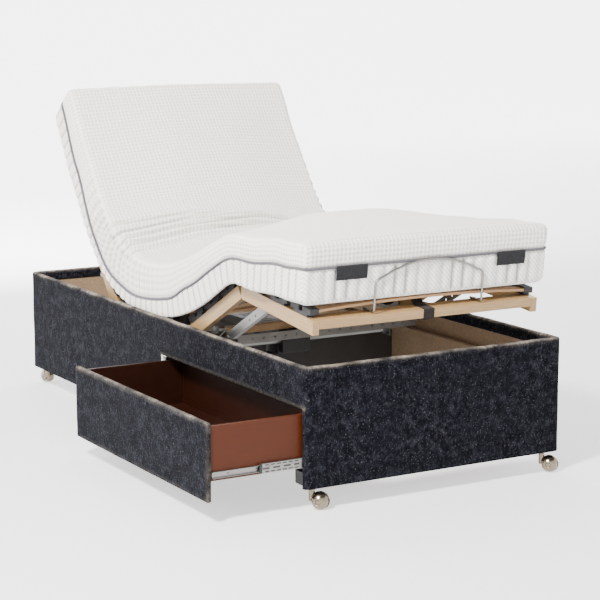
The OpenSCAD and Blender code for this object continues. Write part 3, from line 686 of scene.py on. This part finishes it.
class Profile:
    """The line under the middle of the mattress, from the foot end to the head end, in the Y-Z plane."""

    def __init__(self):
        thigh = self.pivot("thigh_tilt")
        knee = self.pivot("calf_fold")
        back = self.pivot("back_tilt")
        thigh_way = Vector((math.cos(THIGH), math.sin(THIGH)))
        calf_way = Vector((math.cos(CALF), math.sin(CALF)))
        back_way = Vector((math.cos(BACK), math.sin(BACK)))
        thigh_at = thigh + self.normal(thigh_way) * DECK
        calf_at = knee + self.normal(calf_way) * (SEAT_Z - KNEE_Z)
        back_at = back + self.normal(back_way) * DECK
        foot = calf_at - calf_way * CALF_RUN
        knee_at = self.meet(calf_at, calf_way, thigh_at, thigh_way)
        hip_at = self.meet(thigh_at, thigh_way, Vector((0, SEAT_Z)), Vector((1, 0)))
        waist_at = self.meet(back_at, back_way, Vector((0, SEAT_Z)), Vector((1, 0)))
        head = back_at + back_way * BACK_RUN
        self.points = []
        # Each corner is rounded from this far before it to this far beyond it
        corners = [(foot, 0), (knee_at, 0.15), (hip_at, 0.215), (waist_at, 0.27), (head, 0)]
        steps = 24
        for i, (p, reach) in enumerate(corners):
            if not reach:
                self.points.append(p)
                continue
            a = p + (corners[i - 1][0] - p).normalized() * reach
            b = p + (corners[i + 1][0] - p).normalized() * reach
            for k in range(steps + 1):
                t = k / steps
                self.points.append((a * (1 - t) + p * t) * (1 - t) + (p * (1 - t) + b * t) * t)
        self.lengths = [0.0]
        for a, b in zip(self.points, self.points[1:]):
            self.lengths.append(self.lengths[-1] + (b - a).length)
        self.total = self.lengths[-1]
        self.knee, self.hip, self.waist = (self.nearest(p) for p in (knee_at, hip_at, waist_at))

    @staticmethod
    def pivot(joint):
        place = JOINTS[joint]["pos_m"]
        return Vector((place[1], place[2]))

    @staticmethod
    def normal(way):
        return Vector((-way.y, way.x))

    @staticmethod
    def meet(p, a, q, b):
        """Where the line through p along a crosses the line through q along b."""
        cross = a.x * b.y - a.y * b.x
        d = q - p
        return p + a * ((d.x * b.y - d.y * b.x) / cross)

    def nearest(self, p):
        """The distance along the line to its point nearest to p."""
        best = min(range(len(self.points)), key=lambda i: (self.points[i] - p).length)
        return self.lengths[best]

    def at(self, s):
        """The point at distance s and the smoothed upward direction there."""
        reach = 0.012

        def place(d):
            d = min(max(d, 0.0), self.total)
            i = max(k for k in range(len(self.lengths) - 1) if self.lengths[k] <= d)
            part = (d - self.lengths[i]) / (self.lengths[i + 1] - self.lengths[i])
            return self.points[i].lerp(self.points[i + 1], part)

        way = (place(s + reach) - place(s - reach)).normalized()
        return place(s), self.normal(way)


class Mattress:
    """One rounded block, bent to the resting pose and cut into three pieces that bend with the frame."""

    def __init__(self):
        self.line = Profile()
        self.cache = {}

    def station(self, s):
        key = round(s, 5)
        if key not in self.cache:
            self.cache[key] = self.line.at(key)
        return self.cache[key]

    def droop(self, s):
        """How far the sides hang below the slats' crown: most over the knee, least at the two ends."""
        line = self.line
        return self.between(s, (
            (0, -0.004), (0.12, 0.01), (line.knee - 0.1, 0.036), (line.knee + 0.06, 0.04),
            (line.hip, 0.036), (line.waist, 0.036), (line.waist + 0.25, 0.034),
            (line.total - 0.25, 0.026), (line.total, 0.004)))

    def pipe_height(self, s):
        """The corded seam sits high on the side at both ends and is drawn down in the bend at the waist."""
        line = self.line
        return self.between(s, (
            (0, 0.106), (line.knee - 0.1, 0.1), (line.knee + 0.05, 0.094), (line.hip - 0.09, 0.085),
            (line.hip + 0.05, 0.066), (line.waist - 0.1, 0.046), (line.waist + 0.05, 0.036),
            (line.waist + 0.2, 0.046), (line.total - 0.25, 0.074), (line.total, 0.094)))

    @staticmethod
    def between(s, stops):
        """A smooth value at s through (place, value) stops."""
        for (a, va), (b, vb) in zip(stops, stops[1:]):
            if s <= b:
                return va + (vb - va) * ease((s - a) / (b - a))
        return stops[-1][1]

    def place(self, s, x, h):
        """Bends a point of the flat mattress to the resting pose."""
        line = self.line
        p, up = self.station(min(max(s, 0.0), line.total))
        squeeze = 1 - 0.13 * hump(s - line.knee, 0.16)
        seam = self.pipe_height(s)
        h = h * seam / PIPE if h < PIPE else seam + (h - PIPE) * (THICK - seam) / (THICK - PIPE)
        share = max(0.0, min(1.0, h / THICK))
        side = abs(x) / WIDE
        sag_low, sag_top = ease((side - 0.925) / 0.075), ease((side - 0.15) / 0.85)
        sag = self.droop(s) * (sag_low * (1 - share) + sag_top * share)
        crown = 0.007 * (1 - side * side) * share
        lift = 0.015 * hump(s - line.knee, 0.075) + 0.001
        rise = h * squeeze + lift + crown - sag
        ahead = s - min(max(s, 0.0), line.total)
        spot = p + up * rise + Vector((up.y, -up.x)) * ahead
        return Vector((MID + x, spot.x, spot.y))

    def relief(self, s, x, h, way):
        """How far the cover stands out (quilting, creases, slack), and how much painted shade it gets for
        lying deep in a fold.
        """
        line = self.line
        top, side = max(0.0, way.z), 1 - abs(way.z)
        along = x if abs(way.y) > abs(way.x) else s
        out = fold = 0.0
        if side > 0.3 and h < PIPE:
            seam = abs(math.sin(math.pi * along / 0.04))
            band = ease((PIPE - h) / 0.014) * ease((h - 0.004) / 0.016)
            out += 0.0085 * (seam ** 0.5 - 1) * band
            out += 0.004 * band
            # Painted shade in the quilting grooves.
            fold += 0.9 * band * hump(seam, 0.26)
        if side > 0.3:
            out -= 0.0035 * hump(h - PIPE, 0.006)
            out += 0.004 * math.sin(math.pi * max(0.0, min(1.0, (h - PIPE) / (THICK - PIPE)))) * (h > PIPE)
            bend = s - line.waist
            gather = hump(bend - 0.02, 0.27) * ease((h - PIPE) / 0.02)
            fan = math.sin(2 * math.pi * bend / 0.04 + 1.5 * flat_noise((x, s, 0), 0.12))
            out += 0.0085 * gather * fan * min(1.0, side * 1.3)
            # Painted shade in the pleats and just under the piping.
            fold += 0.95 * gather * max(0.0, -fan) ** 2 + 0.4 * hump(h - PIPE, 0.006)
            out += 0.0016 * flat_noise((x, s, h), 0.05, 1.0) * (h > PIPE)
        if top > 0.2:
            near = ease((WIDE - x) / (2 * WIDE))
            across = (x + WIDE) / (2 * WIDE)
            for offset, depth, reach, slant in CREASES:
                where = line.waist + offset + slant * 0.06 * across + 0.012 * flat_noise((x, offset, 0), 0.22)
                gap = s - where
                fade = ease((reach - across) / 0.35)
                # Painted shade in the creases.
                fold += 0.62 * top * fade * (depth / 0.016) * hump(gap, 0.009)
                out += top * depth * fade * (0.45 * hump(gap - 0.024, 0.02) - hump(gap, 0.010)
                                             + 0.45 * hump(gap + 0.024, 0.02))
            slack = 0.0022 * flat_noise((x, s, 0), 0.16, 4.0) + 0.0008 * flat_noise((x, s, 0), 0.045, 6.0)
            out += top * slack * (0.5 + 0.5 * near)
        return out, min(1.0, fold)

    def build(self):
        line = self.line
        low, high = Vector((-WIDE, 0.0, 0.0)), Vector((WIDE, line.total, THICK))
        points, ways, faces = rounded_block(low, high, 0.02, (0.0095, 1 / 180, 0.0055))
        bent = []
        # The painted shade of each point, kept for the "fold" attribute.
        self.fold_shade_values = []
        for p, way in zip(points, ways):
            out, fold = self.relief(p.y, p.x, p.z, way)
            q = p + way * out
            bent.append(self.place(q.y, q.x, q.z))
            self.fold_shade_values.append(fold)
        cuts = [self.cut(points, 0.5 * (line.knee + line.hip)),
                self.cut(points, 0.46 * line.hip + 0.54 * line.waist)]
        for number, name in enumerate(CUT_NAMES):
            self.piece("mattress_" + name, number, points, ways, faces, bent, cuts)
        self.pipe(cuts)
        self.labels()

    @staticmethod
    def cut(points, s):
        """The grid line nearest to s."""
        return min({round(p.y, 5) for p in points}, key=lambda y: abs(y - s))

    def piece(self, name, number, points, ways, faces, bent, cuts):
        """One of the three pieces, with a knitted top and a border, and its own flat coordinates."""
        chosen, used, ids = [], {}, []
        for face in faces:
            s = sum(points[i].y for i in face) / len(face)
            if (s > cuts[0]) + (s > cuts[1]) == number:
                chosen.append(tuple(used.setdefault(i, len(used)) for i in face))
                ids.append(face)
        kept = sorted(used, key=used.get)
        obj = mesh_object(name, [bent[i] for i in kept], chosen, "knit")
        obj.data.materials.append(FINISH["border"])
        # The "fold" attribute carries painted shade to the knit finishes.
        fold_shade_values = obj.data.attributes.new("fold", "FLOAT", "POINT")
        fold_shade_values.data.foreach_set("value", [self.fold_shade_values[i] for i in kept])
        uv = obj.data.uv_layers.new(name="flat")
        for poly, face in zip(obj.data.polygons, ids):
            middle = sum((points[i] for i in face), Vector()) / len(face)
            way = sum((ways[i] for i in face), Vector())
            flat_face = abs(way.z) > max(abs(way.x), abs(way.y))
            underside = way.z < -1.5
            poly.material_index = int(not flat_face and middle.z < PIPE or underside)
            for loop, i in zip(poly.loop_indices, face):
                p = points[i]
                u, v = p.y, p.x
                if not flat_face and abs(way.x) > abs(way.y):
                    v = math.copysign(WIDE + THICK - p.z, p.x)
                elif not flat_face:
                    u = p.y + math.copysign(THICK - p.z, p.y - 1)
                uv.data[loop].uv = (u, v)
        self.bend_between(obj, number)
        stands_for = (("mattress_calf",), ("mattress_thigh", "mattress_seat"), ("mattress_back",))
        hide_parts(*stands_for[number])

    @staticmethod
    def bend_between(obj, number):
        if number == 0:
            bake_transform(obj, "thigh", "calf", (MID, -0.40, 0.64), (MID, -0.63, 0.66))
        elif number == 1:
            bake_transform(obj, "root", "thigh", (MID, 0.09, 0.47), (MID, -0.23, 0.55))
        else:
            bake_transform(obj, "root", "back", (MID, 0.17, 0.60), (MID, 0.47, 0.71))

    def loop(self, out, h):
        """The line round the mattress at height h, as flat points with outward directions."""
        r, total = 0.02, self.line.total
        made = []
        side = WIDE - r
        corners = ((side, r, -90), (side, total - r, 0), (-side, total - r, 90), (-side, r, 180))
        for cx, cs, first in corners:
            for k in range(7):
                a = math.radians(first + 15 * k)
                way = Vector((math.cos(a), math.sin(a), 0))
                made.append((Vector((cx, cs, h)) + way * (r + out), way))
        full = []
        for i, (p, way) in enumerate(made):
            q, after = made[(i + 1) % len(made)]
            n = max(1, round((q - p).length / 0.01))
            full += [(p.lerp(q, k / n), way.lerp(after, k / n)) for k in range(n)]
        return full

    def pipe(self, cuts):
        """The corded seam between the top panel and the quilted border."""
        r, sides = 0.0036, 10
        ring = self.loop(0.0015, PIPE)
        rows = []
        for p, way in ring:
            row = []
            for k in range(sides):
                a = 2 * math.pi * k / sides
                q = p + way * (r * math.cos(a)) + Vector((0, 0, r * math.sin(a)))
                bend = q.y - self.line.waist
                fold = 0.0042 * hump(bend, 0.11) * math.sin(2 * math.pi * bend * 1.3 / 0.03)
                q += way * (0.35 * fold if abs(way.x) > 0.5 else 0)
                row.append(self.place(q.y, q.x, q.z))
            rows.append(row)
        n = len(rows)
        for number, name in enumerate(CUT_NAMES):
            used, faces = {}, []
            for i in range(n):
                s = (ring[i][0].y + ring[(i + 1) % n][0].y) / 2
                if (s > cuts[0]) + (s > cuts[1]) != number:
                    continue
                for k in range(sides):
                    quad = ((i, k), (i, (k + 1) % sides), ((i + 1) % n, (k + 1) % sides), ((i + 1) % n, k))
                    faces.append(tuple(used.setdefault(q, len(used)) for q in quad))
            points = [rows[i][k] for i, k in sorted(used, key=used.get)]
            obj = mesh_object("piping_" + name, points, faces, "piping")
            self.bend_between(obj, number)

    def labels(self):
        """Two blank woven tags sewn under the piping at the foot end."""
        for number, centre in enumerate((-0.270, 0.286)):
            cols, rows_n, w, tall = 14, 6, 0.104, 0.041
            points, faces = [], []
            for layer in (0, 1):
                for j in range(rows_n + 1):
                    for i in range(cols + 1):
                        x = centre + w * (i / cols - 0.5)
                        h = PIPE + 0.004 - tall * j / rows_n
                        wave = 0.0012 * math.sin(math.pi * x / 0.02) * j / rows_n
                        s = -0.0058 - 0.0009 * layer + wave - 0.002 * math.sin(math.pi * j / rows_n)
                        points.append(self.place(s, x, h))
            size = (cols + 1) * (rows_n + 1)
            for layer in (0, 1):
                for j in range(rows_n):
                    for i in range(cols):
                        a = layer * size + j * (cols + 1) + i
                        quad = (a, a + 1, a + cols + 2, a + cols + 1)
                        faces.append(quad if layer else tuple(reversed(quad)))
            rim = [i for i in range(cols + 1)] + [j * (cols + 1) + cols for j in range(1, rows_n + 1)]
            rim += [rows_n * (cols + 1) + i for i in range(cols - 1, -1, -1)]
            rim += [j * (cols + 1) for j in range(rows_n - 1, 0, -1)]
            for a, b in zip(rim, rim[1:] + rim[:1]):
                faces.append((a, b, b + size, a + size))
            obj = mesh_object("label_" + str(number + 1), points, faces, "label")
            self.bend_between(obj, 0)


# ---- Small parts ----


def on_calf(x, y, z):
    """A point of the calf section, drawn flat, in its resting place."""
    knee = Vector(JOINTS["calf_fold"]["pos_m"])
    arm = Vector((0, y - KNEE_Y, z - KNEE_Z))
    return Vector((MID + x, knee.y, knee.z)) + Matrix.Rotation(CALF, 3, "X") @ arm


def way_on_calf(y, z):
    return Matrix.Rotation(CALF, 3, "X") @ Vector((0, y, z))


# The foot rail's outer face and top when the bed is flat
FOOT_Y, RAIL_TOP = -0.97682, 0.395


def retainer():
    """The bent wire arch that keeps the mattress from sliding, with its feet screwed to the foot rail."""
    r, leg, top = 0.0035, 0.188, RAIL_TOP + 0.15
    y = FOOT_Y + 0.006
    path = [(-leg, y + 0.055, RAIL_TOP + r), (-leg, y + 0.012, RAIL_TOP + r),
            (-leg, y + 0.004, RAIL_TOP + r + 0.003), (-leg, y, RAIL_TOP + 0.012)]
    path += [(-leg, y, RAIL_TOP + 0.02 + 0.01 * i) for i in range(7)]
    for i in range(8):
        t = i / 7
        x = -leg + 0.022 * t * t
        path.append((x, y, RAIL_TOP + 0.088 + 0.019 * t * (1.35 - 0.35 * t)))
    for i in range(1, 40):
        x = (leg - 0.022) * (i / 20 - 1)
        path.append((x, y, top - 0.043 * (x / (leg - 0.022)) ** 2))
    path += [(-p[0], p[1], p[2]) for p in reversed(path[:19])]
    obj = tube("retainer_wire", [on_calf(*p) for p in path], r, "wire", "calf", 16)
    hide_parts("retainer_bar")
    for i, x in enumerate((-leg, leg)):
        at = on_calf(x, y + 0.034, RAIL_TOP + 2 * r)
        screw("retainer_screw_" + str(i + 1), at, way_on_calf(0, 1), 0.0048, "calf")


def screw(name, place, way, r, body):
    """A pan-headed screw with a sunken centre in place of its cross recess."""
    outline = [(r, -0.0004), (r, 0.0006), (r * 0.93, 0.0013), (r * 0.7, 0.0020), (r * 0.42, 0.0023),
               (r * 0.36, 0.0022), (r * 0.3, 0.0012), (0.0002, 0.0011)]
    return lathe(name, outline, place, way, "zinc", body, 20)


def dowels_and_screws():
    """Dowel plugs at the foot rail's joints and the screws of the hinge leaves and runners."""
    plug = [(0.0040, -0.001), (0.0040, 0.0002), (0.0036, 0.0007), (0.0002, 0.0009)]
    plugs = []
    for dy, dz in ((0.012, 0.030), (0.034, 0.016)):
        for side in (-1, 1):
            at = on_calf(side * 0.393, FOOT_Y + dy, RAIL_TOP - 0.044 + dz)
            plugs.append(lathe("plug", plug, at, (side, 0, 0), "slat_beech", "calf", 18))
    join("foot_rail_dowels", plugs)
    heads = []
    for side in (-1, 1):
        for k in range(3):
            at = Vector((MID + side * 0.367, -0.150 + 0.018 + 0.02 * k, 0.387))
            heads.append(screw("s", at, (-side, 0, 0), 0.0035, "root"))
            at = Vector((MID + side * 0.367, 0.375 - 0.024 - 0.018 * k, 0.387))
            heads.append(screw("s", at, (-side, 0, 0), 0.0035, "root"))
    join("hinge_screws", heads)
    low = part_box("runner_inners")[0]
    heads = []
    for k in (0.05, 0.16, 0.29):
        heads.append(screw("s", (low.x + k, low.y + 0.0064, 0.142), (0, -1, 0), 0.0036, "drawer"))
    join("runner_screws", heads)


def runner_details():
    """What shows of the near runner: stamped slots, bright tabs, the black front stop and punched holes."""
    low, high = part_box("runner_mids")
    x0, face = low.x, low.y
    middle = 0.5 * (low.z + high.z)

    def plate(name, x, z, long, tall, finish, body, thick=0.0012, y=face):
        corner, far = Vector((x, y - thick, z - tall / 2)), Vector((x + long, y + 0.0006, z + tall / 2))
        points, _, faces = rounded_block(corner, far, 0.0004, (0.004, 0.002, 0.003))
        return mesh_object(name, points, faces, finish, body)

    dark = [plate("p", x0 + 0.012 + 0.019 * k, middle + dz, 0.0125, 0.0034, "black", "runner_mid", 0.0004)
            for k in range(6) for dz in (-0.0095, 0.0095)]
    dark.append(plate("p", x0 + 0.004, middle, 0.118, 0.0048, "black", "runner_mid", 0.0004))
    join("runner_slots", dark)
    bright = [plate("p", x0 + 0.026 + 0.034 * k, middle, 0.011, 0.0066, "wire", "runner_mid", 0.0008)
              for k in range(3)]
    join("runner_tabs", bright)
    plate("runner_stop", x0 - 0.006, middle, 0.009, high.z - low.z - 0.001, "black", "runner_mid", 0.0004)
    low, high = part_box("runner_inners")
    middle = 0.5 * (low.z + high.z)
    slots = [plate("p", low.x + x, middle, long, 0.004, "black", "drawer", 0.0003, low.y + 0.0072)
             for x, long in ((0.05, 0.012), (0.1, 0.006), (0.15, 0.016))]
    join("runner_holes", slots)


def castor_details():
    """A domed hub cap with a ring on each ball's open side."""
    for i in range(1, 5):
        axle = Vector(JOINTS["castor_%d_roll" % i]["pos_m"])
        way = -Vector(JOINTS["castor_%d_roll" % i]["axis"]).normalized()
        cap = [(0.0150, 0.0135), (0.0150, 0.0160), (0.0135, 0.0172), (0.0120, 0.0165), (0.0105, 0.0165),
               (0.0098, 0.0180), (0.0080, 0.0196), (0.0050, 0.0206), (0.0002, 0.0210)]
        obj = lathe("castor_cap_%d" % i, cap, axle, way, "chrome", "ball_%d" % i, 36)


def strap():
    """The webbing's stitched end, folded over and sewn under the foot rail."""
    points, faces = [], []
    for i in range(9):
        t = i / 8
        for x in (-0.0175, 0.0175):
            points.append(on_calf(x, FOOT_Y + 0.004 + 0.05 * t, RAIL_TOP - 0.0302 - 0.0006 * math.sin(3 * t)))
    faces = [(2 * i, 2 * i + 1, 2 * i + 3, 2 * i + 2) for i in range(8)]
    obj = mesh_object("strap_end", points, faces, "webbing", "calf")
    thick = obj.modifiers.new("thick", "SOLIDIFY")
    thick.thickness = 0.0015


def opening_trim():
    """White edging at the head end of the drawer opening."""
    x, y = MID - 0.4495, OPEN_HEAD
    parts = []
    for low, high in (((x, y - 0.0035, 0.07), (x + 0.016, y - 0.0006, OPEN_TOP - 0.0005)),
                      ((x, y - 0.034, OPEN_TOP - 0.0035), (x + 0.016, y - 0.0006, OPEN_TOP - 0.0006))):
        points, _, faces = rounded_block(Vector(low), Vector(high), 0.0008, (0.004, 0.004, 0.02))
        parts.append(mesh_object("t", points, faces, "trim", "root"))
    join("opening_edging", parts)


def drive_details():
    """Screws on top of the drive's housing."""
    low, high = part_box("drive_housing")
    heads = []
    for y in (low.y + 0.02, (low.y + high.y) / 2, high.y - 0.02):
        for side in (-1, 1):
            heads.append(screw("s", (MID + side * 0.046, y, high.z), (0, 0, 1), 0.0032, "root"))
    join("drive_screws", heads)


FINISH = make_finishes()
studio()
dress_frame()
base_cover()
drawer_cover()
Mattress().build()
retainer()
dowels_and_screws()
runner_details()
castor_details()
strap()
opening_trim()
drive_details()
